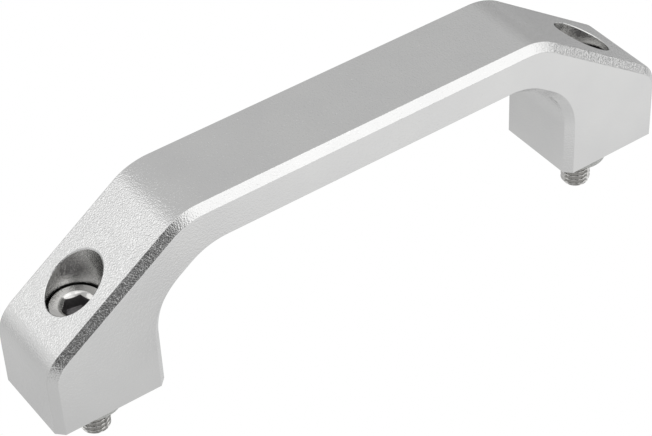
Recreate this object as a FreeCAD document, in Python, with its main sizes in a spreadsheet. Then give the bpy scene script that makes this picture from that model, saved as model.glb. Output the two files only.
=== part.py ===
"""Bridge pull handle: one aluminium bridge on two legs, fastened from above.

The handle is a bar with sloping shoulders and two upright legs, cut from one
profile. A socket head cap screw sits in a counterbore in each shoulder, and a
plastic retaining washer grips its thread under the foot, so that the screw
can't fall out before the handle is mounted.

Frame: +X along the bar, +Y to the far side, +Z up. The origin lies in the
mounting plane, half way between the two screws. All lengths are millimetres.
"""
import FreeCAD, Part
import math
import os

import Sketcher
from FreeCAD import Vector

NEAR = 1e-4

# Driving sizes: alias, value, what it is.
SIZES = [
    ("overall_length", 140.0, "bar and legs, end face to end face"),
    ("handle_width", 20.0, "depth of the profile along Y"),
    ("handle_height", 36.2, "mounting plane to the top of the bar"),
    ("leg_length", 23.0, "each foot along X"),
    ("bar_thickness", 9.8, "top of the bar to its underside"),
    ("shoulder_thickness", 10.6, "shoulder, measured square to its slope"),
    ("shoulder_run", 29.75, "shoulder slope along X"),
    ("shoulder_drop", 20.7, "shoulder slope along Z"),
    ("end_rounding", 7.5, "radius between end face and shoulder"),
    ("top_rounding", 13.0, "radius between shoulder and bar, outside"),
    ("leg_arc", 13.0, "radius between leg and shoulder, inside"),
    ("bar_arc", 12.0, "radius between shoulder and bar, inside"),
    ("edge_chamfer", 1.5, "chamfer along both contours, on both sides"),
    ("screw_inset", 12.0, "end face to the screw axis"),
    ("head_clearance", 0.39, "between the screw head and its counterbore"),
    ("thread_clearance", 0.3, "between the screw thread and its hole"),
    ("seat_height", 11.8, "mounting plane to the seat of the screw head"),
    ("left_screw_lift", 0.7, "that the loose left screw stands off its seat"),
    ("rim_break", 0.15, "broken edge round the counterbore's mouth"),
    ("thread_diameter", 6.0, "outside of the screw thread"),
    ("thread_pitch", 1.0, "screw thread"),
    ("screw_length", 25.0, "below the head"),
    ("head_diameter", 10.22, "screw head, the largest that the standard allows"),
    ("head_height", 6.0, "screw head"),
    ("head_edge", 0.35, "chamfer round the top of the head"),
    ("tip_chamfer", 0.9, "chamfer at the end of the thread"),
    ("socket_flats", 5.0, "hexagon socket across its flats"),
    ("socket_depth", 3.0, "hexagon socket"),
    ("socket_point_depth", 1.2, "drill point below the socket"),
    ("lead_in_diameter", 7.0, "conical mouth of the socket"),
    ("lead_in_depth", 2.0, "the same cone, down to its apex"),
    ("washer_diameter", 12.0, "outside of the retaining washer"),
    ("washer_thickness", 1.4, "retaining washer"),
    ("washer_edge", 0.2, "chamfer round the washer"),
    ("left_washer_drop", 5.2, "mounting plane down to the washer's underside"),
    ("right_washer_drop", 5.6, "mounting plane down to the washer's underside"),
    ("left_screw_turn", 49.0, "degrees that the left screw is turned"),
    ("right_screw_turn", 17.0, "degrees that the right screw is turned"),
]


# The screw axes lie this far from the middle of the bar.
SCREW_X = "sizes.overall_length / 2 - sizes.screw_inset"

# Radii of the stepped hole: each is that of the screw's part in it, and its clearance.
CLEARANCE_RADIUS = "sizes.thread_diameter / 2 + sizes.thread_clearance"
COUNTERBORE_RADIUS = "sizes.head_diameter / 2 + sizes.head_clearance"

# A metric thread's pitch diameter is its outside less 0.65 of its pitch.
SHANK_RADIUS = "(sizes.thread_diameter - 0.65 * sizes.thread_pitch) / 2"

# Height of the underside of each screw's head.
UNDER_HEAD = {
    "left": "sizes.seat_height + sizes.left_screw_lift",
    "right": "sizes.seat_height",
}


# The sides of the bridge profile, in the order in which they are drawn.
SIDES = [
    "left_end",
    "left_shoulder",
    "top",
    "right_shoulder",
    "right_end",
    "right_foot",
    "right_leg",
    "right_inside",
    "underside",
    "left_inside",
    "left_leg",
    "left_foot",
]

# Each rounding of the profile, and the side that starts at its corner.
ROUNDINGS = {
    "end_rounding": "left_shoulder",
    "top_rounding": "top",
    "bar_arc": "left_inside",
    "leg_arc": "left_leg",
}


def make_sheet(doc):
    """The spreadsheet with every driving size under its own alias."""
    sheet = doc.addObject("Spreadsheet::Sheet", "sizes")
    for row, (alias, value, note) in enumerate(SIZES, start=1):
        sheet.set(f"A{row}", alias)
        sheet.set(f"B{row}", str(value))
        sheet.set(f"C{row}", note)
        sheet.setAlias(f"B{row}", alias)
    doc.recompute()
    return sheet


def origin_plane(body, role):
    """One of the body's own origin planes, such as XZ_Plane."""
    for feature in body.Origin.OriginFeatures:
        if feature.Role == role:
            return feature
    raise ValueError(role)


def new_sketch(body, name, role, lift=None):
    """A sketch on an origin plane of the body, lifted along Z by an expression."""
    sketch = body.newObject("Sketcher::SketchObject", name)
    sketch.AttachmentSupport = [(origin_plane(body, role), "")]
    sketch.MapMode = "FlatFace"
    if lift:
        sketch.setExpression("AttachmentOffset.Base.z", lift)
    return sketch


def sheet_value(body, expression):
    """Present value of an expression, for a sketch's first guess."""
    value = body.evalExpression(expression)
    return float(getattr(value, "Value", value))


def size(sketch, index, expression):
    """Bind one dimension of a sketch to the sheet."""
    sketch.setExpression(f"Constraints[{index}]", expression)


def add_loop(sketch, points):
    """Closed chain of lines through the points, each joined to the next."""
    count = len(points)
    for i in range(count):
        start = Vector(*points[i], 0)
        end = Vector(*points[(i + 1) % count], 0)
        sketch.addGeometry(Part.LineSegment(start, end), False)
    for i in range(count):
        sketch.addConstraint(Sketcher.Constraint("Coincident", i, 2, (i + 1) % count, 1))


def turned_profile(body, name, corners):
    """Half section to be turned round Z: corners as (radius, height) expressions.

    A corner that keeps the radius or height of the one before it is held by a
    vertical or horizontal line; every other coordinate is its own dimension.
    """
    sketch = new_sketch(body, name, "XZ_Plane")
    add_loop(sketch, [(sheet_value(body, r), sheet_value(body, z)) for r, z in corners])
    axes = (("Vertical", "DistanceX", -2), ("Horizontal", "DistanceY", -1))
    for i, corner in enumerate(corners):
        for along, (straight, distance, axis) in enumerate(axes):
            if i and corner[along] == corners[i - 1][along]:
                sketch.addConstraint(Sketcher.Constraint(straight, i - 1))
            elif corner[along] == "0":
                sketch.addConstraint(Sketcher.Constraint("PointOnObject", i, 1, axis))
            else:
                value = sheet_value(body, corner[along])
                index = sketch.addConstraint(
                    Sketcher.Constraint(distance, -1, 1, i, 1, value)
                )
                size(sketch, index, corner[along])
    return sketch


def turn(body, kind, name, sketch):
    """Revolution or Groove of a half section, all the way round the Z axis."""
    feature = body.newObject(kind, name)
    feature.Profile = sketch
    feature.ReferenceAxis = (sketch, ["V_Axis"])
    feature.Angle = 360.0
    sketch.Visibility = False
    return feature


def edges_where(shape, wanted):
    """Names of the edges for which wanted(edge) holds."""
    return [f"Edge{i}" for i, edge in enumerate(shape.Edges, start=1) if wanted(edge)]


def dress(body, kind, name, base, wanted, measure, expression):
    """Fillet or Chamfer on chosen edges, its size bound to the sheet."""
    body.Document.recompute()
    names = edges_where(base.Shape, wanted)
    if not names:
        raise RuntimeError(f"{name} finds no edge")
    feature = body.newObject(kind, name)
    feature.Base = (base, names)
    feature.setExpression(measure, expression)
    body.Document.recompute()
    return feature


def bridge_profile(body):
    """The side view of the bridge with sharp corners, symmetric about Z."""
    sketch = new_sketch(body, "bridge_profile", "XZ_Plane")
    half = sheet_value(body, "sizes.overall_length / 2")
    height, leg, bar, shoulder, run, drop = (
        sheet_value(body, f"sizes.{alias}")
        for alias in (
            "handle_height",
            "leg_length",
            "bar_thickness",
            "shoulder_thickness",
            "shoulder_run",
            "shoulder_drop",
        )
    )
    slope = drop / run
    shoulder_foot = height - drop
    # The inside slope is the outside one, lowered by the shoulder's upright thickness.
    upright = shoulder * math.hypot(1, slope)
    inside_foot = shoulder_foot + leg * slope - upright
    inside_top = half - (upright + drop - bar) / slope
    outer = [(half, 0), (half, shoulder_foot), (half - run, height)]
    inner = [(inside_top, height - bar), (half - leg, inside_foot), (half - leg, 0)]
    left_side = [(-x, z) for x, z in outer]
    add_loop(sketch, left_side + outer[::-1] + inner[::-1] + [(-x, z) for x, z in inner])

    def rule(kind, *arguments):
        """Add a constraint; a side's name stands for the number of its line."""
        numbers = [SIDES.index(item) if isinstance(item, str) else item for item in arguments]
        return sketch.addConstraint(Sketcher.Constraint(kind, *numbers))

    rule("Vertical", "left_end")
    rule("Vertical", "left_leg")
    rule("Horizontal", "left_foot")
    rule("PointOnObject", "left_end", 1, -1)
    # Corners that mirror each other: end, shoulder foot, shoulder top, then inside.
    mirrored = [
        ("left_end", 1, "right_end", 2),
        ("left_shoulder", 1, "right_shoulder", 2),
        ("top", 1, "top", 2),
        ("left_foot", 1, "right_foot", 2),
        ("left_leg", 1, "right_leg", 2),
        ("underside", 1, "underside", 2),
    ]
    for first, first_end, second, second_end in mirrored:
        rule("Symmetric", first, first_end, second, second_end, -2)
    rule("Parallel", "left_inside", "left_shoulder")
    sizes = [
        (("DistanceX", "left_end", 1, "right_end", 2, 2 * half), "sizes.overall_length"),
        (("DistanceY", -1, 1, "top", 1, height), "sizes.handle_height"),
        (("DistanceX", "left_foot", 2, "left_foot", 1, leg), "sizes.leg_length"),
        (("DistanceX", "left_shoulder", 1, "left_shoulder", 2, run), "sizes.shoulder_run"),
        (("DistanceY", "left_shoulder", 1, "left_shoulder", 2, drop), "sizes.shoulder_drop"),
        (("DistanceY", "underside", 2, "top", 1, bar), "sizes.bar_thickness"),
        (("Distance", "left_inside", 1, "left_shoulder", shoulder), "sizes.shoulder_thickness"),
    ]
    for arguments, expression in sizes:
        size(sketch, rule(*arguments), expression)
    return sketch


def corner_at(x, z):
    """Test for the edge along Y at this place in the side view, left or right."""

    def wanted(edge):
        box = edge.BoundBox
        upright = abs(abs(box.Center.x) - abs(x)) < NEAR and abs(box.Center.z - z) < NEAR
        return upright and box.XLength < NEAR and box.ZLength < NEAR and box.YLength > 1

    return wanted


def two_circles(body, name, lift, radius):
    """Sketch with a circle on each screw axis."""
    sketch = new_sketch(body, name, "XY_Plane", lift)
    spacing = f"2 * ({SCREW_X})"
    present_spacing = sheet_value(body, spacing)
    present_radius = sheet_value(body, radius)
    for side in (-1, 1):
        centre = Vector(side * present_spacing / 2, 0, 0)
        sketch.addGeometry(Part.Circle(centre, Vector(0, 0, 1), present_radius), False)
    sketch.addConstraint(Sketcher.Constraint("Symmetric", 0, 3, 1, 3, -1, 1))
    sketch.addConstraint(Sketcher.Constraint("PointOnObject", 0, 3, -1))
    sketch.addConstraint(Sketcher.Constraint("Equal", 0, 1))
    apart = Sketcher.Constraint("DistanceX", 0, 3, 1, 3, present_spacing)
    size(sketch, sketch.addConstraint(apart), spacing)
    bore = Sketcher.Constraint("Radius", 0, present_radius)
    size(sketch, sketch.addConstraint(bore), radius)
    return sketch


def cut_upwards(body, name, sketch):
    """Pocket from the sketch up through everything; it has to remove material."""
    body.Document.recompute()
    before = body.Shape.Volume
    pocket = body.newObject("PartDesign::Pocket", name)
    pocket.Profile = sketch
    pocket.Type = "ThroughAll"
    pocket.Reversed = True
    sketch.Visibility = False
    body.Document.recompute()
    if body.Shape.Volume > before - 1:
        raise RuntimeError(f"{name} cuts nothing")
    return pocket


def make_handle(doc):
    """The bridge: padded profile, rounded corners, chamfered contours, two stepped holes."""
    body = doc.addObject("PartDesign::Body", "handle_body")
    body.Label = "handle_body"
    profile = bridge_profile(body)
    pad = body.newObject("PartDesign::Pad", "bridge")
    pad.Profile = profile
    pad.SideType = "Symmetric"
    pad.setExpression("Length", "sizes.handle_width")
    profile.Visibility = False
    doc.recompute()

    base = pad
    for rounding, side in ROUNDINGS.items():
        corner = corner_at(*sketch_corner(profile, side))
        base = dress(body, "PartDesign::Fillet", rounding, base, corner, "Radius", f"sizes.{rounding}")

    half_width = sheet_value(body, "sizes.handle_width / 2")

    def on_contour(edge):
        box = edge.BoundBox
        on_side = box.YLength < NEAR and abs(abs(box.YMin) - half_width) < NEAR
        return on_side and box.ZMax > NEAR

    dress(body, "PartDesign::Chamfer", "contour_chamfer", base, on_contour, "Size", "sizes.edge_chamfer")
    clearance = two_circles(body, "clearance_circles", None, CLEARANCE_RADIUS)
    cut_upwards(body, "clearance_holes", clearance)
    counterbore = two_circles(
        body, "counterbore_circles", "sizes.seat_height", COUNTERBORE_RADIUS
    )
    bores = cut_upwards(body, "counterbores", counterbore)

    screw_x = sheet_value(body, SCREW_X)
    radius = sheet_value(body, COUNTERBORE_RADIUS)
    seat = sheet_value(body, "sizes.seat_height")

    def on_mouth(edge):
        points = edge.discretize(5)
        reaches = [math.hypot(abs(point.x) - screw_x, point.y) for point in points]
        on_bore = max(abs(reach - radius) for reach in reaches) < NEAR
        return on_bore and min(point.z for point in points) > seat + NEAR

    dress(body, "PartDesign::Chamfer", "mouth_break", bores, on_mouth, "Size", "sizes.rim_break")
    return body


def sketch_corner(profile, side):
    """Where this side of the bridge profile starts, as (x, z)."""
    point = profile.getPoint(SIDES.index(side), 1)
    return point.x, point.y


def make_screw(doc, side, sign):
    """Socket head cap screw; its thread is a plain cylinder.

    Below the mounting plane the cylinder has the thread's outside diameter.
    In the handle's hole, and where the washer grips it, it has the pitch
    diameter. The right screw's head rests on its seat and the left one's
    stands a little off it, because both are loose until the handle is mounted.
    """
    name = f"{side}_socket_screw"
    body = doc.addObject("PartDesign::Body", name)
    body.Label = name
    shank = SHANK_RADIUS
    thread = "sizes.thread_diameter / 2"
    head = "sizes.head_diameter / 2"
    head_under = UNDER_HEAD[side]
    head_top = f"{head_under} + sizes.head_height"
    tip = f"{head_under} - sizes.screw_length"
    washer_under = f"-sizes.{side}_washer_drop"
    washer_top = f"{washer_under} + sizes.washer_thickness"
    corners = [
        ("0", head_top),
        (f"{head} - sizes.head_edge", head_top),
        (head, f"{head_top} - sizes.head_edge"),
        (head, head_under),
        (shank, head_under),
        (shank, "0"),
        (thread, "0"),
        (thread, washer_top),
        (shank, washer_top),
        (shank, washer_under),
        (thread, washer_under),
        (thread, f"{tip} + sizes.tip_chamfer"),
        (f"{thread} - sizes.tip_chamfer", tip),
        ("0", tip),
    ]
    outline = turned_profile(body, f"{name}_outline", corners)
    turn(body, "PartDesign::Revolution", f"{name}_turned", outline)
    doc.recompute()
    solid = body.Shape.Volume
    cut_socket(body, name, head_top)
    doc.recompute()
    if body.Shape.Volume > solid - 1:
        raise RuntimeError(f"{name} has no socket")
    place_on_screw_axis(body, side, sign)
    return body


def cut_socket(body, name, head_top):
    """Hexagon socket with a drill point below it and a conical mouth."""
    sketch = new_sketch(body, f"{name}_hexagon", "XY_Plane", head_top)
    radius = sheet_value(body, "sizes.socket_flats") / math.sqrt(3)
    turns = [math.radians(60 * i) for i in range(6)]
    add_loop(sketch, [(radius * math.cos(a), radius * math.sin(a)) for a in turns])
    circle = sketch.addGeometry(Part.Circle(Vector(0, 0, 0), Vector(0, 0, 1), radius), True)
    sketch.addConstraint(Sketcher.Constraint("Coincident", circle, 3, -1, 1))
    for i in range(6):
        sketch.addConstraint(Sketcher.Constraint("PointOnObject", i, 1, circle))
    for i in range(1, 6):
        sketch.addConstraint(Sketcher.Constraint("Equal", 0, i))
    sketch.addConstraint(Sketcher.Constraint("Horizontal", 1))
    flat = Sketcher.Constraint("Distance", -1, 1, 1, radius * math.sqrt(3) / 2)
    size(sketch, sketch.addConstraint(flat), "sizes.socket_flats / 2")
    pocket = body.newObject("PartDesign::Pocket", f"{name}_socket")
    pocket.Profile = sketch
    pocket.setExpression("Length", "sizes.socket_depth")
    sketch.Visibility = False

    floor = f"{head_top} - sizes.socket_depth"
    point = turned_profile(
        body,
        f"{name}_point",
        [("0", floor), ("sizes.socket_flats / 2", floor), ("0", f"{floor} - sizes.socket_point_depth")],
    )
    turn(body, "PartDesign::Groove", f"{name}_drill_point", point)
    mouth = turned_profile(
        body,
        f"{name}_mouth",
        [
            ("0", head_top),
            ("sizes.lead_in_diameter / 2", head_top),
            ("0", f"{head_top} - sizes.lead_in_depth"),
        ],
    )
    turn(body, "PartDesign::Groove", f"{name}_lead_in", mouth)


def make_washer(doc, side, sign):
    """Retaining washer that grips the screw below the foot."""
    name = f"{side}_retaining_washer"
    body = doc.addObject("PartDesign::Body", name)
    body.Label = name
    under = f"-sizes.{side}_washer_drop"
    top = f"{under} + sizes.washer_thickness"
    bore = SHANK_RADIUS
    rim = "sizes.washer_diameter / 2"
    flat = f"{rim} - sizes.washer_edge"
    corners = [
        (bore, under),
        (flat, under),
        (rim, f"{under} + sizes.washer_edge"),
        (rim, f"{top} - sizes.washer_edge"),
        (flat, top),
        (bore, top),
    ]
    outline = turned_profile(body, f"{name}_outline", corners)
    turn(body, "PartDesign::Revolution", f"{name}_turned", outline)
    place_on_screw_axis(body, side, sign)
    return body


def place_on_screw_axis(body, side, sign):
    """Move a turned body from the Z axis to the left or right screw axis."""
    body.setExpression("Placement.Base.x", f"{sign} * ({SCREW_X})")
    body.Placement.Rotation = FreeCAD.Rotation(Vector(0, 0, 1), 0)
    body.setExpression("Placement.Rotation.Angle", f"sizes.{side}_screw_turn")


def check(doc, bodies):
    """Stop if any object failed to build, or a piece isn't one valid solid."""
    for item in doc.Objects:
        if "Invalid" in item.State or "Error" in item.State:
            raise RuntimeError(f"{item.Label} failed: {item.State}")
    for body in bodies:
        shape = body.Shape
        if shape.isNull() or not shape.isValid() or len(shape.Solids) != 1:
            raise RuntimeError(f"{body.Label} isn't one valid solid")


def write_parts(bodies):
    """Write each piece to parts/NAME.step and print what it measures."""
    os.makedirs("parts", exist_ok=True)
    for body in bodies:
        body.Shape.exportStep(os.path.join("parts", f"{body.Label}.step"))
        box = body.Shape.BoundBox
        print(
            f"{body.Label}: {body.Shape.Volume:.1f} mm3, "
            f"x {box.XMin:.2f} to {box.XMax:.2f}, y {box.YMin:.2f} to {box.YMax:.2f}, "
            f"z {box.ZMin:.2f} to {box.ZMax:.2f}"
        )


def main():
    doc = FreeCAD.newDocument("bridge_pull_handle")
    make_sheet(doc)
    bodies = [make_handle(doc)]
    for side, sign in (("left", -1), ("right", 1)):
        bodies.append(make_screw(doc, side, sign))
        bodies.append(make_washer(doc, side, sign))
    doc.recompute()
    check(doc, bodies)
    write_parts(bodies)


main()
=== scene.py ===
# %% [markdown]
# # A bridge pull handle
#
# The object is a machine handle cut from one aluminium profile: two upright legs, two sloping
# shoulders and a bar. A socket head cap screw sits in a counterbore in each shoulder, and a plastic
# retaining washer hangs on its thread below the foot. The solids already have the right sizes. This
# script gives every piece the broken edges, thread, socket and surface finish that a camera sees.
#
# The first cell loads those solids as a fixed frame. Everything is in metres.

# %% Load the frame
from math import radians

import bpy
import numpy as np
from mathutils import Matrix, Vector


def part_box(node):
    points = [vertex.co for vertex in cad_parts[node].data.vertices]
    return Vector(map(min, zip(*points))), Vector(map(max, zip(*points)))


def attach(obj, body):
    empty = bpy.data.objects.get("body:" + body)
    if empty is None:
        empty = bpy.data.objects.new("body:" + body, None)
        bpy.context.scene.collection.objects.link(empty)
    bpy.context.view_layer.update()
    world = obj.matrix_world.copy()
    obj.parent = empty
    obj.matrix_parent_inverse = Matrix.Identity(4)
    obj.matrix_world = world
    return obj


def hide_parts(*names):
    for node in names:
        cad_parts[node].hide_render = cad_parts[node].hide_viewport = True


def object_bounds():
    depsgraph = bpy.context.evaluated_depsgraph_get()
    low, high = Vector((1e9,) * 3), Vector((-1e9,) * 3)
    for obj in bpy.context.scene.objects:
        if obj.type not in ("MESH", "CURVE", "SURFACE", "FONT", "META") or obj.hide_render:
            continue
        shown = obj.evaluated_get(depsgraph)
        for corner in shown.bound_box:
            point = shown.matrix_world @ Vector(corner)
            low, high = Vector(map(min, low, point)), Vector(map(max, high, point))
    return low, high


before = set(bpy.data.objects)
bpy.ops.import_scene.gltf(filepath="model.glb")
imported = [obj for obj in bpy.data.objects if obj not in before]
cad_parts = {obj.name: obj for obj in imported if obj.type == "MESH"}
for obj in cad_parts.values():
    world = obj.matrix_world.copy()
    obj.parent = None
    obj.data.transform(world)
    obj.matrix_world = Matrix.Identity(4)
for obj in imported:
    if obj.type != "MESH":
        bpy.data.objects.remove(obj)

MM = 0.001


def in_mm(point):
    """A point's coordinates in millimetres, rounded for printing."""
    return [round(value / MM, 2) for value in point]


cad_low, cad_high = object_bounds()
print("nodes:", sorted(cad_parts))
print("solids reach from", in_mm(cad_low), "to", in_mm(cad_high), "mm")

# %% [markdown]
# ## The camera
#
# A product photograph like this is taken with a long lens from high on the left, so that upright
# edges stay almost parallel. The camera's place, the point it aims at and its slight roll were
# found by matching the straight edges of the bridge. It is made first, because every later choice
# is judged through it.

# %% The camera
CAMERA_PLACE = Vector((-178.46, -263.12, 285.88)) * MM
CAMERA_AIM = Vector((-4.4, 0.0, 9.8)) * MM
CAMERA_ROLL = radians(-2.95)
LENS_MM = 122.3
SENSOR_MM = 36.0
NEAREST_SEEN = 0.01
FARTHEST_SEEN = 20.0

camera_data = bpy.data.cameras.new("camera")
camera_data.sensor_width = SENSOR_MM
camera_data.lens = LENS_MM
camera_data.clip_start = NEAREST_SEEN
camera_data.clip_end = FARTHEST_SEEN
camera = bpy.data.objects.new("camera", camera_data)
aimed = (CAMERA_AIM - CAMERA_PLACE).to_track_quat("-Z", "Y").to_matrix().to_4x4()
rolled = Matrix.Rotation(CAMERA_ROLL, 4, "Z")
camera.matrix_world = Matrix.Translation(CAMERA_PLACE) @ aimed @ rolled
bpy.context.collection.objects.link(camera)
bpy.context.scene.camera = camera
print("camera stands", round((CAMERA_AIM - CAMERA_PLACE).length, 3), "m from what it aims at")

# %% [markdown]
# ## Sizes
#
# The outside sizes are read from the frame. The others are the real sizes of the profile, and of
# the stepped holes for a standard M6 screw.

# %% Sizes
handle_low, handle_high = (Vector(corner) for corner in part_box("handle_body"))
HALF_LENGTH = handle_high.x
HALF_WIDTH = handle_high.y
HEIGHT = handle_high.z

LEG_LENGTH = 23.0 * MM
BAR_THICKNESS = 9.8 * MM
SHOULDER_THICKNESS = 10.6 * MM
SHOULDER_RUN = 29.75 * MM
SHOULDER_DROP = 20.7 * MM
END_ROUNDING = 7.5 * MM
TOP_ROUNDING = 13.0 * MM
LEG_ARC = 13.0 * MM
BAR_ARC = 12.0 * MM
EDGE_CHAMFER = 1.5 * MM
EDGE_RADIUS = 0.18 * MM

COUNTERBORE_RADIUS = 5.5 * MM
CLEARANCE_RADIUS = 3.3 * MM
SEAT_HEIGHT = 11.8 * MM

SLOPE = SHOULDER_DROP / SHOULDER_RUN
SHOULDER_FOOT = HEIGHT - SHOULDER_DROP
screw_low, screw_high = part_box("right_socket_screw")
SCREW_X = (screw_low[0] + screw_high[0]) / 2
print("bridge measures", in_mm(handle_high - handle_low), "mm")
print("screw axes lie", round(2 * SCREW_X / MM, 2), "mm apart")
print("shoulders rise", round(SLOPE, 3), "mm per mm")

# %% [markdown]
# ## From arrays to a mesh
#
# Every new piece is a grid of points worked out with numpy: the rows follow one direction of the
# surface and the columns the other. One helper stacks rings round an upright axis into such a
# grid, as on a lathe, and the other turns a grid into a closed mesh. Columns close into a ring, and
# the first and last rows can be closed by one flat face.

# %% Rings and grids
def ring_stack(rings, angle, axis_x):
    """Grid of a stack of rings about an upright axis: one row per ring, one column per angle.

    A point's x is the axis's plus its radius times the cosine of its angle, and its y is the
    radius times the sine. Each ring is a pair of radius and height, and either of them may be
    one number or an array with one number per angle.
    """
    grid = np.empty((len(rings), len(angle), 3))
    for row, (radius, height) in zip(grid, rings):
        row[:, 0] = axis_x + radius * np.cos(angle)
        row[:, 1] = radius * np.sin(angle)
        row[:, 2] = height
    return grid


def ring_mesh(name, grid, close_ends=True):
    """Mesh of a grid of points, rows by columns by xyz, whose columns close into rings.

    Corner (row, column) has number row times columns plus column. Each face joins four
    neighbours, and the first and last rings are closed by one flat face each.
    """
    rows, columns, _ = grid.shape
    number = np.arange(rows * columns).reshape(rows, columns)
    here = number[:-1]
    beside = np.roll(number, -1, axis=1)[:-1]
    above = number[1:]
    diagonal = np.roll(number, -1, axis=1)[1:]
    faces = np.stack([here, beside, diagonal, above], axis=-1).reshape(-1, 4).tolist()
    if close_ends:
        faces.append(number[0][::-1].tolist())
        faces.append(number[-1].tolist())
    mesh = bpy.data.meshes.new(name)
    mesh.from_pydata(grid.reshape(-1, 3).tolist(), [], faces)
    mesh.validate()
    return mesh

# %% [markdown]
# A renderer and a printer both need faces that point outwards. A closed mesh says by the sign of
# its volume whether they do. Smooth shading then hides the facets of round surfaces, and edges that
# turn more than a given angle stay sharp.

# %% Outward faces and new pieces
def outward(mesh):
    """Turn the whole mesh's faces outwards if its signed volume is negative.

    The signed volume is a sixth of the sum, over each face's triangles, of the first corner
    dotted with the cross product of the other two. The volume's size is returned.
    """
    mesh.calc_loop_triangles()
    corners = np.empty(len(mesh.vertices) * 3)
    mesh.vertices.foreach_get("co", corners)
    triangles = np.empty(len(mesh.loop_triangles) * 3, dtype=np.int32)
    mesh.loop_triangles.foreach_get("vertices", triangles)
    a, b, c = corners.reshape(-1, 3)[triangles.reshape(-1, 3)].transpose(1, 0, 2)
    volume = np.einsum("ij,ij->i", a, np.cross(b, c)).sum() / 6
    if volume < 0:
        mesh.flip_normals()
    return abs(volume)


def new_piece(name, mesh, sharp_degrees):
    """Object of a mesh, smooth except at edges that turn more than this many degrees."""
    mesh.shade_smooth()
    mesh.set_sharp_from_angle(angle=radians(sharp_degrees))
    piece = bpy.data.objects.new(name, mesh)
    bpy.context.collection.objects.link(piece)
    print(name, "has", len(mesh.polygons), "faces")
    return piece

# %% [markdown]
# ## The contours of the bridge
#
# A toolmaker draws the bridge as two open lines with sharp corners, an outer and an inner one, and
# then rounds the corners. The same function rounds the corners of a line in any plane, so it also
# serves for the small roundings across the edges, the rims and the washers later on.

# %% Rounded lines
def rounded_line(corners, radii, steps):
    """Points and left-hand normals of an open line whose inner corners are rounded.

    At a corner that turns by an angle, the arc touches both sides at its radius times the
    tangent of half that angle from the corner. The arc's points are its centre minus its
    radius times the normal, while the normal turns evenly from one side's to the other's.
    """
    corners = np.asarray(corners, dtype=float)
    along = np.diff(corners, axis=0)
    along /= np.linalg.norm(along, axis=1, keepdims=True)
    left = np.stack([-along[:, 1], along[:, 0]], axis=1)
    points = [corners[:1]]
    normals = [left[:1]]
    for corner, radius, before, after, left_before in zip(
        corners[1:-1], radii, along[:-1], along[1:], left[:-1]
    ):
        angle = np.arctan2(before[0] * after[1] - before[1] * after[0], before @ after)
        side = np.sign(angle)
        start = corner - before * radius * np.tan(abs(angle) / 2)
        centre = start + side * radius * left_before
        share = np.linspace(0, angle, steps)[:, None]
        normal = left_before * np.cos(share) - before * np.sin(share)
        points.append(centre - side * radius * normal)
        normals.append(normal)
    points.append(corners[-1:])
    normals.append(left[-1:])
    return np.concatenate(points), np.concatenate(normals)


def mirrored(half_line):
    """A line from the left foot to the middle, carried on by its mirror image."""
    return half_line + [(-x, z) for x, z in reversed(half_line)]

# %% [markdown]
# The inside slope runs parallel to the outside one, lower by the shoulder's thickness measured
# upright. Both contours have the same four roundings in the same order, so point number n of one
# lies across the material from point number n of the other. They start a hair above the foot,
# which leaves room for its broken edge.

# %% The two contours
FOOT_BREAK = 0.12 * MM
ARC_STEPS = 22

upright_thickness = SHOULDER_THICKNESS * np.hypot(1, SLOPE)
inside_x = HALF_LENGTH - LEG_LENGTH
inside_foot = SHOULDER_FOOT + LEG_LENGTH * SLOPE - upright_thickness
inside_top_x = HALF_LENGTH - (upright_thickness + SHOULDER_DROP - BAR_THICKNESS) / SLOPE

outer_corners = mirrored(
    [(-HALF_LENGTH, FOOT_BREAK), (-HALF_LENGTH, SHOULDER_FOOT), (SHOULDER_RUN - HALF_LENGTH, HEIGHT)]
)
inner_corners = mirrored(
    [(-inside_x, FOOT_BREAK), (-inside_x, inside_foot), (-inside_top_x, HEIGHT - BAR_THICKNESS)]
)
outer, outer_left = rounded_line(
    outer_corners, [END_ROUNDING, TOP_ROUNDING, TOP_ROUNDING, END_ROUNDING], ARC_STEPS
)
inner, inner_left = rounded_line(inner_corners, [LEG_ARC, BAR_ARC, BAR_ARC, LEG_ARC], ARC_STEPS)
print("contour points:", len(outer), "and", len(inner))

# %% [markdown]
# ## Across the profile
#
# Seen along the bar, the material is a rectangle with chamfered corners. On the real part the
# cutter and the blasting leave each of those eight edges very slightly round, and that thin curve is
# what catches the light. A Bevel modifier could do it, but the section is short, so it is a rounded
# line too, in depth below the surface and place across the width.

# %% The section
SECTION_STEPS = 5
SUPPORT = 0.5 * MM

flat = HALF_WIDTH - EDGE_CHAMFER
section_corners = [
    (EDGE_CHAMFER + SUPPORT, -HALF_WIDTH),
    (EDGE_CHAMFER, -HALF_WIDTH),
    (0, -flat),
    (0, flat),
    (EDGE_CHAMFER, HALF_WIDTH),
    (EDGE_CHAMFER + SUPPORT, HALF_WIDTH),
]
section, _ = rounded_line(section_corners, [EDGE_RADIUS] * 4, SECTION_STEPS)
print("section points:", len(section))

# %% [markdown]
# The section is carried along the outer contour, and turned round along the inner one, so that one
# row of the grid is a closed ring round the material. One more, smaller ring at each foot breaks the
# edge there, and the ring mesh closes it with the foot's flat face.

# %% The solid bridge
def carried(contour, into_material, profile):
    """The section carried along a contour: rows follow the contour, columns the section.

    Each point is the contour's point plus its depth times the normal that points into the
    material; its place across the width is the section's.
    """
    in_view = contour[:, None, :] + profile[None, :, :1] * into_material[:, None, :]
    across = np.broadcast_to(profile[None, :, 1], in_view.shape[:2])
    return np.stack([in_view[..., 0], across, in_view[..., 1]], axis=-1)


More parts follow.
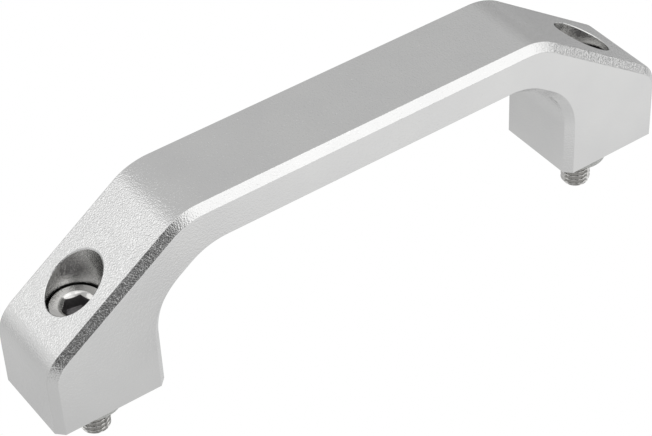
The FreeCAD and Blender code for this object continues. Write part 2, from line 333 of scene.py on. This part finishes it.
def inset_ring(ring, amount):
    """A flat ring at height zero, moved inwards by this amount along its own normals.

    The normal at a point is its two neighbours' difference, turned a quarter, on the side
    of the ring's middle.
    """
    tangent = np.roll(ring, -1, axis=0) - np.roll(ring, 1, axis=0)
    normal = np.stack([-tangent[:, 1], tangent[:, 0], np.zeros(len(ring))], axis=1)
    normal /= np.linalg.norm(normal, axis=1, keepdims=True)
    towards_middle = ring.mean(axis=0) - ring
    normal *= np.sign(np.einsum("ij,ij->i", normal, towards_middle))[:, None]
    moved = ring + amount * normal
    moved[:, 2] = 0
    return moved


bridge_grid = np.concatenate(
    [carried(outer, -outer_left, section), carried(inner, inner_left, section[::-1])], axis=1
)
left_foot = inset_ring(bridge_grid[0], FOOT_BREAK)
right_foot = inset_ring(bridge_grid[-1], FOOT_BREAK)
bridge_grid = np.concatenate([left_foot[None], bridge_grid, right_foot[None]])
bridge_mesh = ring_mesh("bridge", bridge_grid)
print("bridge volume before the holes:", round(outward(bridge_mesh) / MM**3), "mm3")

# %% [markdown]
# ## The stepped holes
#
# A drill and a counterbore cutter go in from above, along Z, but they meet a sloping face, so the
# mouth is an ellipse and one side of the bore is much deeper than the other. The sharp rim is then
# broken by a narrow chamfer. That flat band is what shows as a thin bright line round the far side
# of the mouth, so it is drawn as a flat with two very small roundings, not as one round edge.

# %% The rim
# The chamfer starts this deep below the slope, leans this far from the wall, and takes this share
# of the rise. The rest leans further.
RIM_DEPTH = 0.22 * MM
RIM_TURN = radians(42)
RIM_LAST_TURN = radians(65)
RIM_FLAT_SHARE = 0.85
# The line starts a little below the chamfer and ends a little above the slope.
RIM_LEAD = 0.1 * MM
RIM_PAST = 0.05 * MM
RIM_ROUNDINGS = [0.05 * MM, 0.03 * MM]
RIM_STEPS = 4


def rim_line():
    """Line across the rim: how far the radius has grown, and the height measured from the slope.

    It comes up the wall, turns along the flat chamfer, and turns once more just below the
    slope, to leave it at a blunter angle. Along a side the radius grows by the rise times the
    tangent of its turn from the wall.
    """
    last_rise = (1 - RIM_FLAT_SHARE) * RIM_DEPTH
    flat_end = RIM_FLAT_SHARE * RIM_DEPTH * np.tan(RIM_TURN)
    corners = [
        (0, -RIM_DEPTH - RIM_LEAD),
        (0, -RIM_DEPTH),
        (flat_end, -last_rise),
        (flat_end + (last_rise + RIM_PAST) * np.tan(RIM_LAST_TURN), RIM_PAST),
    ]
    return rounded_line(corners, RIM_ROUNDINGS, RIM_STEPS)[0].tolist()


print("the rim grows by", round(rim_line()[-1][0] / MM, 2), "mm in", len(rim_line()), "points")

# %% [markdown]
# The hole is made as in the workshop: a cutter body is taken away from the bridge. The cutter is a
# stack of rings, narrow for the clearance hole and wide for the counterbore, and its rim follows the
# slope, so its height there differs from one angle to the next.

# %% The cutter
FOOT_RIM_BREAK = 0.22 * MM
HOLE_SIDES = 160
ABOVE = 20.0 * MM
BELOW = 1.0 * MM


def shoulder_height(x):
    """Height of the sloping face above a place along the bar.

    It is the slope's height at the end plus the distance from the end times the slope.
    """
    return SHOULDER_FOOT + (HALF_LENGTH - np.abs(x)) * SLOPE


def cutter_grid(screw_x):
    """Rings of the stepped cutter round one screw axis.

    The lower rings are flat. At the mouth they follow the rim's line, measured from the slope
    above each point, and one last ring goes straight up.
    """
    angle = np.linspace(0, 2 * np.pi, HOLE_SIDES, endpoint=False)

    def on_slope(radius):
        return shoulder_height(screw_x + radius * np.cos(angle))

    rings = [
        (CLEARANCE_RADIUS + FOOT_RIM_BREAK + BELOW, -BELOW),
        (CLEARANCE_RADIUS, FOOT_RIM_BREAK),
        (CLEARANCE_RADIUS, SEAT_HEIGHT),
        (COUNTERBORE_RADIUS, SEAT_HEIGHT),
    ]
    for growth, rise in rim_line():
        radius = COUNTERBORE_RADIUS + growth
        rings.append((radius, on_slope(radius) + rise))
    rings.append((radius, on_slope(radius) + ABOVE))
    return ring_stack(rings, angle, screw_x)


cutters = [ring_mesh("cutter", cutter_grid(screw_x)) for screw_x in (-SCREW_X, SCREW_X)]
print("cutter volumes:", [round(outward(cutter) / MM**3) for cutter in cutters], "mm3")

# %% [markdown]
# A boolean takes the cutters away. The exact solver is slower than the fast one, but it leaves clean
# edges where the rim runs out on the slope. Weighted normals then keep the large faces flat in the
# light, up to the small roundings beside them.

# %% Cut the holes
def cut(mesh, tool_meshes):
    """The mesh with each tool's mesh taken away, worked out by Blender's exact boolean."""
    target = bpy.data.objects.new("to_cut", mesh)
    bpy.context.collection.objects.link(target)
    tools = []
    for tool_mesh in tool_meshes:
        tool = bpy.data.objects.new("cutter", tool_mesh)
        bpy.context.collection.objects.link(tool)
        tools.append(tool)
        boolean = target.modifiers.new("hole", "BOOLEAN")
        boolean.operation = "DIFFERENCE"
        boolean.solver = "EXACT"
        boolean.object = tool
    bpy.context.view_layer.update()
    evaluated = target.evaluated_get(bpy.context.evaluated_depsgraph_get())
    result = bpy.data.meshes.new_from_object(evaluated)
    for used in [target] + tools:
        bpy.data.objects.remove(used)
    return result


bridge_mesh = cut(bridge_mesh, cutters)
print("bridge volume:", round(outward(bridge_mesh) / MM**3), "mm3")

bridge = new_piece("bridge", bridge_mesh, sharp_degrees=50)
flat_faces = bridge.modifiers.new("flat faces stay flat", "WEIGHTED_NORMAL")
flat_faces.keep_sharp = True
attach(bridge, "root")
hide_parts("handle_body")

# %% [markdown]
# ## The screws
#
# A socket head cap screw is forged and then rolled, so its thread is a ridge that climbs one pitch
# per turn. It could be a triangle swept along a helix, but that needs a boolean with the shank. Round
# the axis the surface is a single function: the radius depends only on how far the height is ahead
# of the angle, in pitches.

# %% The thread
THREAD_RADIUS = 3.0 * MM
PITCH = 1.0 * MM
THREAD_DEPTH = 0.61 * MM
ROWS_PER_PITCH = 14
# Shares of a pitch that are flat, at the root and at the crest.
ROOT_SHARE = 0.22
CREST_SHARE = 0.125
# Share of the ridge's height below which its flank eases into the root.
ROOT_EASE = 0.3


def thread_radius(ahead):
    """Radius of a metric thread at a phase counted in pitches.

    The ridge's height is a triangle wave, cut off flat at the root and at the crest. Near the
    root it eases out along a parabola: its square over twice the ease, plus half the ease.
    """
    wave = 2 * np.abs(ahead - np.round(ahead))
    ridge = np.clip((wave - ROOT_SHARE) / (1 - ROOT_SHARE - CREST_SHARE), 0, 1)
    easing = ridge**2 / (2 * ROOT_EASE) + ROOT_EASE / 2 * (ridge > 0)
    return THREAD_RADIUS - THREAD_DEPTH * (1 - np.where(ridge < ROOT_EASE, easing, ridge))


one_pitch = thread_radius(np.linspace(0, 1, ROWS_PER_PITCH))
print("thread radius runs from", *in_mm([one_pitch.min()]), "to", *in_mm([one_pitch.max()]), "mm")

# %% [markdown]
# The socket is punched into the head: a conical mouth that guides the key, six flat walls, a floor
# and a drill point. A boolean with a hexagonal prism would do, but rings do it without a cut. Only
# the walls aren't round: across a flat their radius grows with one over the cosine of the angle
# from the flat's middle.

# %% Rings of the socket
SOCKET_FLATS = 5.0 * MM
SOCKET_DEPTH = 3.0 * MM
SOCKET_POINT = 1.2 * MM
LEAD_IN_RADIUS = 3.5 * MM
LEAD_IN_DEPTH = 2.0 * MM
LIP = 0.12 * MM


def socket_rings(top, from_flat):
    """Rings from the head's top down into the socket.

    The cone's height is the top minus the distance from its rim times its slope, and the
    hexagon's walls meet it in six arches. Each edge is bent over a part of the lip's width.
    """
    hexagon = SOCKET_FLATS / 2 / np.cos(from_flat)
    mouth_slope = LEAD_IN_DEPTH / LEAD_IN_RADIUS
    mouth = top - (LEAD_IN_RADIUS - hexagon) * mouth_slope
    lip_fall = LIP * mouth_slope
    floor = top - SOCKET_DEPTH
    return [
        (LEAD_IN_RADIUS + LIP, top),
        (LEAD_IN_RADIUS + LIP / 3, top - lip_fall / 6),
        (LEAD_IN_RADIUS - LIP / 2, top - lip_fall / 1.5),
        (hexagon + LIP / 3, mouth + lip_fall / 3),
        (hexagon, mouth - LIP / 3),
        (hexagon, floor + LIP),
        (hexagon - LIP, floor),
        (SOCKET_FLATS / 2 - LIP, floor),
        (LIP, floor - SOCKET_POINT),
    ]


print("the hexagon is", *in_mm([SOCKET_FLATS / np.cos(np.pi / 6)]), "mm across its corners")

# %% [markdown]
# From the thread's tip to the bottom of its socket the whole screw is one stack of rings: tip,
# thread, underside of the head, its side and rounded top, and the socket. One closed surface has no
# seams to hide, and it prints as it is.

# %% Rings of a screw
TIP_CHAMFER = 0.9 * MM
HEAD_RADIUS = 5.11 * MM
HEAD_HEIGHT = 6.0 * MM
HEAD_EDGE = 0.12 * MM
HEAD_EDGE_STEPS = 6
SCREW_SIDES = 96


def screw_grid(tip, seat, turn, axis_x):
    """Grid of a screw that stands on an upright axis, turned by an angle.

    Its top edge is a quarter circle: the radius falls by the edge times one minus the cosine,
    and the height by the edge times one minus the sine.
    """
    angle = np.linspace(0, 2 * np.pi, SCREW_SIDES, endpoint=False)
    rows = int(round((seat - tip) / PITCH * ROWS_PER_PITCH)) + 1
    heights = np.linspace(tip, seat, rows)
    ahead = heights[:, None] / PITCH - angle[None, :] / (2 * np.pi)
    chamfer = THREAD_RADIUS - TIP_CHAMFER + (heights - tip)[:, None]
    threaded = np.minimum(thread_radius(ahead), chamfer)

    top = seat + HEAD_HEIGHT
    bend = np.linspace(0, np.pi / 2, HEAD_EDGE_STEPS)
    edge_radii = HEAD_RADIUS - HEAD_EDGE * (1 - np.cos(bend))
    edge_heights = top - HEAD_EDGE * (1 - np.sin(bend))

    rings = list(zip(threaded, heights))
    rings += [(HEAD_RADIUS - LIP, seat), (HEAD_RADIUS, seat + LIP)]
    rings += list(zip(edge_radii, edge_heights))
    rings += socket_rings(top, angle % (np.pi / 3) - np.pi / 6)
    return ring_stack(rings, angle + turn, axis_x)

# %% [markdown]
# Each screw stands where its solid does. The left hexagon is turned as the photograph shows it. The
# right one is hidden, so its turn is free.

# %% Make the screws
SIDES = ("left", "right")
# How far a corner of each hexagon is turned from the X axis.
SCREW_TURN = {"left": radians(49), "right": radians(17)}


def make_screw(side):
    """One screw, on the axis of its CAD node."""
    node = f"{side}_socket_screw"
    low, high = (Vector(corner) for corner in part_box(node))
    grid = screw_grid(low.z, high.z - HEAD_HEIGHT, SCREW_TURN[side], (low.x + high.x) / 2)
    mesh = ring_mesh(f"{side}_screw", grid)
    outward(mesh)
    piece = new_piece(f"{side}_screw", mesh, sharp_degrees=35)
    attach(piece, "root")
    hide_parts(node)
    return piece


screws = [make_screw(side) for side in SIDES]

# %% [markdown]
# ## The retaining washers
#
# A retaining washer is stamped from sheet plastic or moulded: a thin ring whose bore is slightly
# smaller than the thread, so that the thread cuts into it and the screw can't fall out. It is
# turned from one rounded section, and its last ring is its first again, so the bore is closed too.

# %% Make the washers
WASHER_EDGE = 0.22 * MM
WASHER_EDGE_STEPS = 6
WASHER_SIDES = 128
# The bore grips the thread at its pitch radius, this share of a pitch below the crest.
GRIP_SHARE = 0.325


def washer_grid(low, high):
    """Grid of a flat ring with rounded edges that fills the box between two corners.

    The section is a rounded line in radius and height, from the bore's lower edge out along
    the underside, up the rim and back to the bore.
    """
    rim = (high.x - low.x) / 2
    bore = THREAD_RADIUS - GRIP_SHARE * PITCH
    corners = [(bore, low.z), (rim, low.z), (rim, high.z), (bore, high.z)]
    outline, _ = rounded_line(corners, [WASHER_EDGE] * 2, WASHER_EDGE_STEPS)
    closed = np.concatenate([outline, outline[:1]])
    angle = np.linspace(0, 2 * np.pi, WASHER_SIDES, endpoint=False)
    return ring_stack(closed, angle, (low.x + high.x) / 2)


def make_washer(side):
    """One washer, on the axis of its CAD node."""
    node = f"{side}_retaining_washer"
    low, high = (Vector(corner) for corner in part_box(node))
    mesh = ring_mesh(f"{side}_washer", washer_grid(low, high), close_ends=False)
    outward(mesh)
    piece = new_piece(f"{side}_washer", mesh, sharp_degrees=35)
    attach(piece, "root")
    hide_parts(node)
    return piece


washers = [make_washer(side) for side in SIDES]

# %% [markdown]
# ## Materials
#
# One function adds a node, sets it up and links it. Colours are written as sRGB hex, as a colour
# picker shows them, and turned to the linear values that the renderer works with.

# %% Material helpers
def linear(hex_colour):
    """Linear red, green, blue and alpha of an sRGB hex colour.

    Each channel is divided by 12.92 where it is under 0.04045, and otherwise has 0.055 added,
    is divided by 1.055 and raised to the power 2.4.
    """
    channels = np.array([int(hex_colour[i : i + 2], 16) / 255 for i in (1, 3, 5)])
    low = channels / 12.92
    high = ((channels + 0.055) / 1.055) ** 2.4
    return (*np.where(channels < 0.04045, low, high).tolist(), 1.0)


def add(tree, kind, inputs=None, **settings):
    """Add a node: settings are its properties, inputs are values or sockets to link."""
    node = tree.nodes.new(kind)
    for name, value in settings.items():
        setattr(node, name, value)
    for name, value in (inputs or {}).items():
        if isinstance(value, bpy.types.NodeSocket):
            tree.links.new(value, node.inputs[name])
        else:
            node.inputs[name].default_value = value
    return node


def new_material(name):
    """Empty material and its node tree, with only an output node."""
    material = bpy.data.materials.new(name)
    material.use_nodes = True
    tree = material.node_tree
    tree.nodes.clear()
    output = tree.nodes.new("ShaderNodeOutputMaterial")
    return material, tree, output


WHITE = linear("#FFFFFF")
print("half grey #808080 is", round(linear("#808080")[0], 3), "in linear light")

# %% [markdown]
# Two pieces have a second finish inside a hole. Their faces are picked by where they lie, so that
# no list of face numbers has to be kept when a shape changes.

# %% Faces by place
def faces_within(mesh, axis_x, radius, above):
    """True for each face whose corners all lie this near an upright axis and above this height."""
    points = np.empty(len(mesh.vertices) * 3)
    mesh.vertices.foreach_get("co", points)
    x, y, z = points.reshape(-1, 3).T
    inside = (np.hypot(x - axis_x, y) < radius) & (z > above)
    corner = np.empty(len(mesh.loops), dtype=np.int32)
    mesh.loops.foreach_get("vertex_index", corner)
    first = np.empty(len(mesh.polygons), dtype=np.int32)
    mesh.polygons.foreach_get("loop_start", first)
    return np.logical_and.reduceat(inside[corner], first)


def second_material(piece, faces):
    """Give these faces of a piece its second material, and the others its first."""
    piece.data.polygons.foreach_set("material_index", faces.astype(np.int32))
    print(piece.name, "has", int(faces.sum()), "faces in its second material")

# %% [markdown]
# ### Blasted and anodised aluminium
#
# The bridge is milled, blasted with fine glass beads and clear anodised. The beads leave dents of
# about a tenth of a millimetre. Each dent tilts the surface a little, so where the studio around
# the handle goes from light to dark the metal breaks up into bright and dark grains, and where the
# studio is even the same metal looks smooth. A bump map does exactly this, so the grain is height,
# not paint, and the roughness itself stays low. The grain is drawn at a third of a millimetre,
# because finer dents would vanish between the pixels.

# %% Blasted and anodised aluminium
GRAIN = 0.3 * MM
GRAIN_HEIGHT = 0.09 * MM
CLOUD = 9.0 * MM

aluminium, tree, output = new_material("blasted_anodised_aluminium")
place = add(tree, "ShaderNodeTexCoord").outputs["Object"]
grain = add(
    tree, "ShaderNodeTexNoise", {"Vector": place, "Scale": 1 / GRAIN, "Detail": 1.5, "Roughness": 0.6}
)
cloud = add(
    tree, "ShaderNodeTexNoise", {"Vector": place, "Scale": 1 / CLOUD, "Detail": 2.0, "Roughness": 0.5}
)
bump = add(
    tree, "ShaderNodeBump", {"Height": grain.outputs["Fac"], "Strength": 1.0, "Distance": GRAIN_HEIGHT}
)
tint = add(
    tree,
    "ShaderNodeMix",
    {"Factor": cloud.outputs["Fac"], "A": linear("#CBCBCB"), "B": linear("#D3D3D2")},
    data_type="RGBA",
)
metal = add(
    tree,
    "ShaderNodeBsdfPrincipled",
    {
        "Base Color": tint.outputs["Result"],
        "Metallic": 1.0,
        "Roughness": 0.05,
        "Normal": bump.outputs["Normal"],
    },
)
tree.links.new(metal.outputs["BSDF"], output.inputs["Surface"])
bridge.data.materials.append(aluminium)
print("grain of", *in_mm([GRAIN]), "mm on", bridge.name)

# %% [markdown]
# ### Milled counterbore
#
# The beads hardly reach into the counterbores, so their walls keep the cutter's satin finish. That
# is a little rougher in its shine and shallower in its grain than the outside, and the eye sees a
# soft reflection of the screw's head low on the wall. The walls and the seat are bare metal of the
# same alloy, so only the finish differs. The cutter's marks are drawn as coarse as the grain
# outside, because the real ones would vanish between the pixels.

# %% Milled counterbore
BORE_GRAIN = 0.3 * MM
BORE_GRAIN_HEIGHT = 0.075 * MM
# The wall's own faces, and the first small rounding of its rim.
BORE_MARGIN = 0.02 * MM

bore_wall, tree, output = new_material("milled_counterbore")
place = add(tree, "ShaderNodeTexCoord").outputs["Object"]
grain = add(
    tree,
    "ShaderNodeTexNoise",
    {"Vector": place, "Scale": 1 / BORE_GRAIN, "Detail": 1.5, "Roughness": 0.6},
)
bump = add(
    tree,
    "ShaderNodeBump",
    {"Height": grain.outputs["Fac"], "Strength": 1.0, "Distance": BORE_GRAIN_HEIGHT},
)
metal = add(
    tree,
    "ShaderNodeBsdfPrincipled",
    {
        "Base Color": linear("#DCDCDB"),
        "Metallic": 1.0,
        "Roughness": 0.2,
        "Normal": bump.outputs["Normal"],
    },
)
tree.links.new(metal.outputs["BSDF"], output.inputs["Surface"])
bridge.data.materials.append(bore_wall)

left_bore, right_bore = (
    faces_within(bridge.data, axis_x, COUNTERBORE_RADIUS + BORE_MARGIN, SEAT_HEIGHT / 2)
    for axis_x in (-SCREW_X, SCREW_X)
)
second_material(bridge, left_bore | right_bore)

# %% [markdown]
# ### Stainless steel
#
# The screws are cold forged from stainless steel and tumbled clean. The metal is slightly warmer and
# darker than aluminium, with a clear shine and faint marks half a millimetre wide from the forging
# and the tumbling, which make its reflections waver.

# %% Stainless steel
STEEL_MARKS = 0.5 * MM
STEEL_MARK_HEIGHT = 0.02 * MM

steel, tree, output = new_material("stainless_steel")
place = add(tree, "ShaderNodeTexCoord").outputs["Object"]
marks = add(tree, "ShaderNodeTexNoise", {"Vector": place, "Scale": 1 / STEEL_MARKS, "Detail": 2.0})
bump = add(
    tree,
    "ShaderNodeBump",
    {"Height": marks.outputs["Fac"], "Strength": 1.0, "Distance": STEEL_MARK_HEIGHT},
)
metal = add(
    tree,
    "ShaderNodeBsdfPrincipled",
    {
        "Base Color": linear("#C0BFBD"),
        "Metallic": 1.0,
        "Roughness": 0.12,
        "Normal": bump.outputs["Normal"],
    },
)
tree.links.new(metal.outputs["BSDF"], output.inputs["Surface"])
for screw in screws:
    screw.data.materials.append(steel)
print("marks of", *in_mm([STEEL_MARKS]), "mm on the screws")

# %% [markdown]
# ### Socket with painted shade
#
# The hexagon is punched, and tumbling doesn't reach into it. Its walls are painted dark, with cloudy
# patches, as painted shade for the deep hole, so the socket reads as a dark hole beside its bright
# conical mouth.

# %% Socket with painted shade
# Size of the patches in the painted shade of the socket.
SHADE_MOTTLE_SIZE = 0.6 * MM

socket_painted_shade, tree, output = new_material("painted_shade_socket")
place = add(tree, "ShaderNodeTexCoord").outputs["Object"]
shade_mottle = add(
    tree, "ShaderNodeTexNoise", {"Vector": place, "Scale": 1 / SHADE_MOTTLE_SIZE, "Detail": 2.0}
)
# Two dark tints mixed in patches: painted shade inside the socket, not a colour of the steel.
tint = add(
    tree,
    "ShaderNodeMix",
    {"Factor": shade_mottle.outputs["Fac"], "A": linear("#747273"), "B": linear("#8E8C8D")},
    data_type="RGBA",
)
metal = add(
    tree,
    "ShaderNodeBsdfPrincipled",
    {"Base Color": tint.outputs["Result"], "Metallic": 1.0, "Roughness": 0.5},
)
tree.links.new(metal.outputs["BSDF"], output.inputs["Surface"])

# The hexagon reaches its corners, and its mouth is broken by a part of the lip.
socket_reach = SOCKET_FLATS / np.sqrt(3) + LIP / 2
for screw, axis_x in zip(screws, (-SCREW_X, SCREW_X)):
    screw.data.materials.append(socket_painted_shade)
    head_top = max(corner[2] for corner in screw.bound_box)
    below_socket = head_top - SOCKET_DEPTH - 2 * SOCKET_POINT
    second_material(screw, faces_within(screw.data, axis_x, socket_reach, below_socket))

# %% [markdown]
# ### Natural polyamide
#
# The washers are polyamide without pigment: a milky grey white plastic with a satin skin. Thin
# parts of it look slightly cloudy, so two near tints are mixed over patches a millimetre and a half
# wide.

# %% Natural polyamide
CLOUDING = 1.5 * MM
POLYAMIDE_IOR = 1.53

polyamide, tree, output = new_material("natural_polyamide")
place = add(tree, "ShaderNodeTexCoord").outputs["Object"]
clouding = add(tree, "ShaderNodeTexNoise", {"Vector": place, "Scale": 1 / CLOUDING, "Detail": 2.0})
tint = add(
    tree,
    "ShaderNodeMix",
    {"Factor": clouding.outputs["Fac"], "A": linear("#B4B5B2"), "B": linear("#C2C3C0")},
    data_type="RGBA",
)
plastic = add(
    tree,
    "ShaderNodeBsdfPrincipled",
    {"Base Color": tint.outputs["Result"], "Roughness": 0.45, "IOR": POLYAMIDE_IOR},
)
tree.links.new(plastic.outputs["BSDF"], output.inputs["Surface"])
for washer in washers:
    washer.data.materials.append(polyamide)
print("clouds of", *in_mm([CLOUDING]), "mm on the washers")

# %% [markdown]
# ## The studio
#
# Metal shows its surroundings, so the studio decides how light each face looks. Lamps would do, but
# a world painted by direction gives the same soft boxes without noise. It holds an even level, with
# round patches that add light or take it away. The camera itself sees only white.
#
# Each patch is there for the face that mirrors it. The key softbox shows in the left shoulder and
# the glow below it in the rounded end. The softbox at the front right turns the chamfer along the
# bar white, and the high one beside it the thin edge above. The dark room and the camera show in
# the left shoulder's chamfer, which looks straight back at them, and the reflector and the bright
# edge of the table in the right shoulder's. The dim corner shows in the bend above the right
# shoulder, and the edge of the overhead softbox in the conical mouth of the screw. The others light
# the screw's head, and the bar when it is seen from above.

# %% Patches of the studio
WORLD_LEVEL = 0.74
# Each patch: its azimuth from the back towards the right, its elevation, how far from its middle
# it is full and where it ends, all in degrees, and how much light it adds.
PATCHES = [
    ("key softbox, back left", -49, 43, 12, 17, 0.85),
    ("glow low at the back left", -47, 4, 12, 40, 0.26),
    ("softbox, front right", 143, 40, 18, 41, 0.78),
    ("reflector, right", 104, 19, 18, 19, 0.20),
    ("bright edge of the table, right", 101, 6, 6, 7, 0.8),
    ("softbox, right", 88, 42, 12, 18, 0.3),
    ("softbox, high right", 115, 66, 8, 16, 0.5),
    ("dim corner at the back right", 60, -4, 16, 44, -0.22),
    ("softbox overhead", 0, 90, 16, 29, 0.55),
    ("edge of the overhead softbox", -146, 78, 6, 10, 0.5),
    ("dark room behind the camera", -143, 21, 14, 24, -0.6),
    ("camera on its stand", -146, 47, 4, 10, -0.5),
]


def patch_of(tree, direction, azimuth, elevation, full, end, level):
    """Socket with this level inside a round patch of the sky, falling off smoothly to nothing.

    The cosine of the angle from the patch's middle is the dot product of both directions. It
    is mapped from the cosine of the patch's end to that of its full part.
    """
    turn, lift = radians(azimuth), radians(elevation)
    middle = Vector((np.sin(turn) * np.cos(lift), np.cos(turn) * np.cos(lift), np.sin(lift)))
    facing = add(tree, "ShaderNodeVectorMath", {0: direction, 1: middle}, operation="DOT_PRODUCT")
    limits = {"From Min": float(np.cos(radians(end))), "From Max": float(np.cos(radians(full)))}
    patch = add(
        tree,
        "ShaderNodeMapRange",
        {"Value": facing.outputs["Value"], **limits, "To Min": 0.0, "To Max": level},
        interpolation_type="SMOOTHSTEP",
    )
    return patch.outputs["Result"]


added = sum(level > 0 for *_, level in PATCHES)
print(added, "patches add light and", len(PATCHES) - added, "take it away")

# %% [markdown]
# The world's node tree adds the patches to the even level one after the other, and the sum is the
# strength of a white background. Light Path then lets the camera see an even white instead.

# %% The world
world = bpy.data.worlds.new("studio")
bpy.context.scene.world = world
world.use_nodes = True
tree = world.node_tree
tree.nodes.clear()
output = tree.nodes.new("ShaderNodeOutputWorld")
direction = add(tree, "ShaderNodeTexCoord").outputs["Generated"]
sky = WORLD_LEVEL
for name, *shape in PATCHES:
    patch = patch_of(tree, direction, *shape)
    sky = add(tree, "ShaderNodeMath", {0: sky, 1: patch}, operation="ADD", label=name).outputs[0]
studio = add(tree, "ShaderNodeBackground", {"Color": WHITE, "Strength": sky})
white = add(tree, "ShaderNodeBackground", {"Color": WHITE, "Strength": 1.0})
ray = add(tree, "ShaderNodeLightPath")
seen = add(
    tree,
    "ShaderNodeMixShader",
    {0: ray.outputs["Is Camera Ray"], 1: studio.outputs["Background"], 2: white.outputs["Background"]},
)
tree.links.new(seen.outputs["Shader"], output.inputs["Surface"])
print("the studio has", len(PATCHES), "patches over a level of", WORLD_LEVEL)

# %% [markdown]
# ## The floor
#
# The handle stands over a wide sheet of white paper, which lies at the height of the screws' tips.
# One large square is enough, because nothing on it is seen but its light.

# %% The floor
FLOOR_SIZE = 3.0
floor_height = cad_low[2]
corners = np.array([(-1, -1), (1, -1), (1, 1), (-1, 1)]) * FLOOR_SIZE / 2
floor_mesh = bpy.data.meshes.new("floor")
floor_mesh.from_pydata([(x, y, floor_height) for x, y in corners.tolist()], [], [(0, 1, 2, 3)])
floor = bpy.data.objects.new("floor", floor_mesh)
bpy.context.collection.objects.link(floor)
print("the floor lies at", *in_mm([floor_height]), "mm")

# %% [markdown]
# ### White paper
#
# Uncoated white paper scatters light evenly, so it is a plain diffuse surface, and it lights the handle
# from below like any matt sheet. The metal mirrors it too, and there its uneven light matters: it grows
# towards the front right and is darker in the handle's own shade and beside the photographer. So a
# glossy ray sees painted light: a glowing level that rises across the sheet, with round patches of
# painted shade and light on it, most of them for the inner sides of the legs, the arches and the ends.

# %% The painted light of the paper
FLOOR_LEVEL = 0.81
# Levels that the paper gains per metre along X and Y, because its light comes from the front right.
FLOOR_RISE = (1.2, -3.9, 0.0)
FLOOR_RANGE = (0.68, 1.06)
# Each painted patch of the paper: its middle, how far from it the patch is full and where it ends, all
# in millimetres, and how much light it adds; less than none is painted shade.
FLOOR_PATCHES = [
    ("dark by the photographer", -250, -130, 50, 160, -0.45),
    ("shade between the legs", 36, -18, 8, 24, -0.19),
    ("shade inside the right leg", 44, 6, 8, 26, -0.07),
    ("shade before the left shoulder", -24, -38, 8, 30, -0.15),
    ("dim behind the right leg", 150, 85, 50, 130, -0.24),
    ("dim far to the right", 1000, -300, 770, 790, -1.0),
    ("light far at the front right", 650, -520, 230, 300, 0.9),
    ("shade behind the left foot", -50, 16, 6, 20, -0.3),
    ("shade behind the right foot", 66, 16, 6, 20, -0.3),
    ("light behind the left end", -125, 60, 35, 75, 0.10),
]

paper, tree, output = new_material("white_paper")
place = add(tree, "ShaderNodeTexCoord").outputs["Object"]
ramp = add(tree, "ShaderNodeVectorMath", {0: place, 1: FLOOR_RISE}, operation="DOT_PRODUCT")
raised = add(tree, "ShaderNodeMath", {0: ramp.outputs["Value"], 1: FLOOR_LEVEL}, operation="ADD")
held = add(
    tree, "ShaderNodeClamp", {"Value": raised.outputs[0], "Min": FLOOR_RANGE[0], "Max": FLOOR_RANGE[1]}
)
floor_light = held.outputs["Result"]
for name, x, y, full, end, level in FLOOR_PATCHES:
    middle = (x * MM, y * MM, 0)
    away = add(tree, "ShaderNodeVectorMath", {0: place, 1: middle}, operation="DISTANCE")
    patch = add(
        tree,
        "ShaderNodeMapRange",
        {"Value": away.outputs["Value"], "From Min": end * MM, "From Max": full * MM, "To Max": level},
        interpolation_type="SMOOTHSTEP",
    )
    total = add(
        tree, "ShaderNodeMath", {0: floor_light, 1: patch.outputs["Result"]}, operation="ADD", label=name
    )
    floor_light = total.outputs[0]
print("the paper has", len(FLOOR_PATCHES), "patches that only metal mirrors")

# %% [markdown]
# Three shaders share the sheet, and the kind of ray chooses between them: a camera ray sees an even
# white, a glossy ray the uneven level as a painted glow with its painted shade, and every other ray the
# diffuse paper.

# %% White paper
diffuse = add(tree, "ShaderNodeBsdfDiffuse", {"Color": linear("#E6E6E6")})
# Painted light: the sheet glows for glossy rays, with its painted shade, in place of the lit paper.
painted_floor_glow = add(tree, "ShaderNodeEmission", {"Color": WHITE, "Strength": floor_light})
lit = add(tree, "ShaderNodeEmission", {"Color": WHITE, "Strength": 1.0})
ray = add(tree, "ShaderNodeLightPath")
in_metal = add(
    tree,
    "ShaderNodeMixShader",
    {0: ray.outputs["Is Glossy Ray"], 1: diffuse.outputs["BSDF"], 2: painted_floor_glow.outputs["Emission"]},
)
seen = add(
    tree,
    "ShaderNodeMixShader",
    {0: ray.outputs["Is Camera Ray"], 1: in_metal.outputs["Shader"], 2: lit.outputs["Emission"]},
)
tree.links.new(seen.outputs["Shader"], output.inputs["Surface"])
floor.data.materials.append(paper)
print(paper.name, "has", len(tree.nodes), "nodes")

# %% [markdown]
# ## Finish
#
# Standard view keeps white at white.

# %% Finish
bpy.context.scene.view_settings.view_transform = "Standard"
